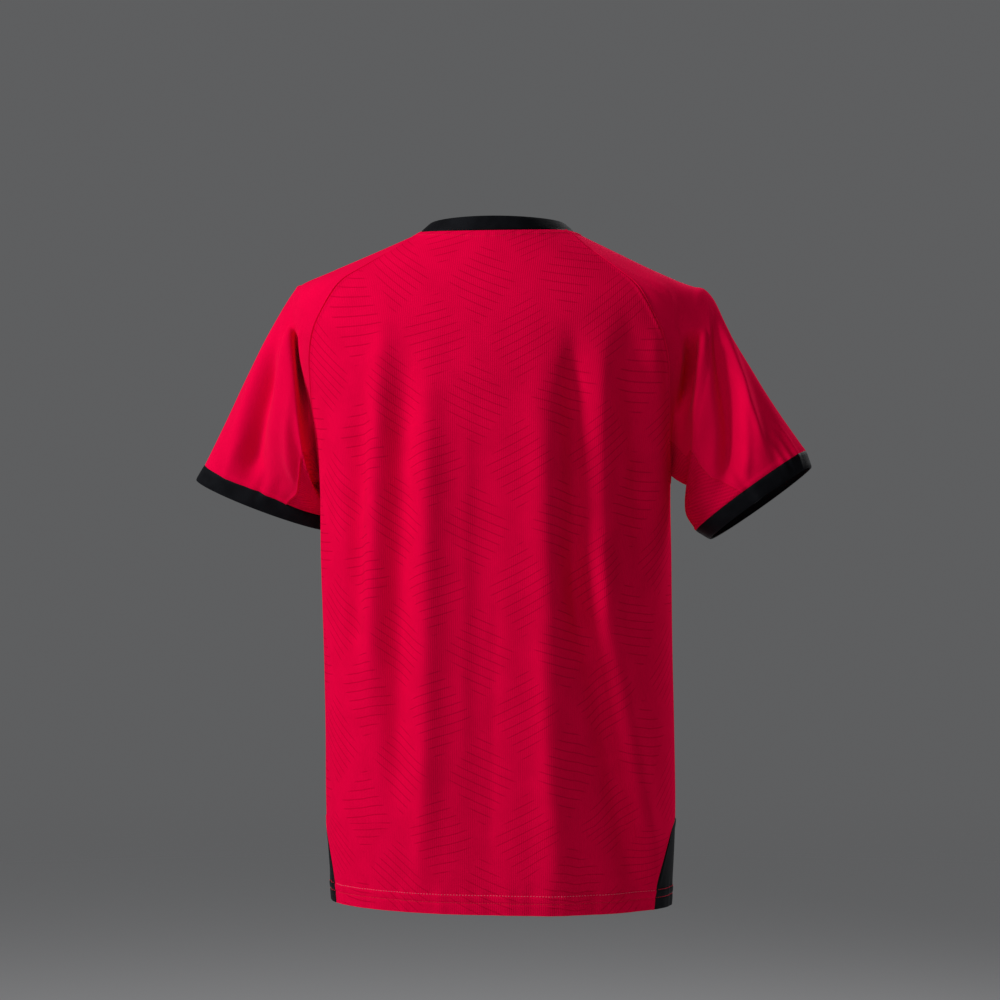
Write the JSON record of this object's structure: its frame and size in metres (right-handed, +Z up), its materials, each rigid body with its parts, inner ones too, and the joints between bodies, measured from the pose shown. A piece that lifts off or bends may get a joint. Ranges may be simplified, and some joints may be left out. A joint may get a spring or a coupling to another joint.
{
  "type": "football jersey",
  "caption": "Short-sleeved football jersey with raglan sleeves, underarm gussets, crew collar and dark cuffs, in the hollow form it has when worn.",
  "frame": {"origin": "centre of the neck at the height of the shoulder points, where the wearer holds the jersey up", "axes": "+Z up, front of the jersey faces -Y, the wearer's left is +X"},
  "size_m": [0.6738, 0.2408, 0.7192],
  "materials": {
    "red_knit": "matte rib mesh knit",
    "red_interlock": "smooth interlock knit with a soft sheen",
    "red_mesh": "matte micro mesh knit",
    "black_rib": "matte rib knit"
  },
  "bodies": {
    "root": {"back": "red_knit", "front": "red_knit", "sleeve_left": "red_interlock", "sleeve_right": "red_interlock", "gusset_left": "red_mesh", "gusset_right": "red_mesh", "side_inset_left": "black_rib", "side_inset_right": "black_rib", "collar": "black_rib", "cuff_left": "black_rib", "cuff_right": "black_rib"}
  },
  "joints": []
}
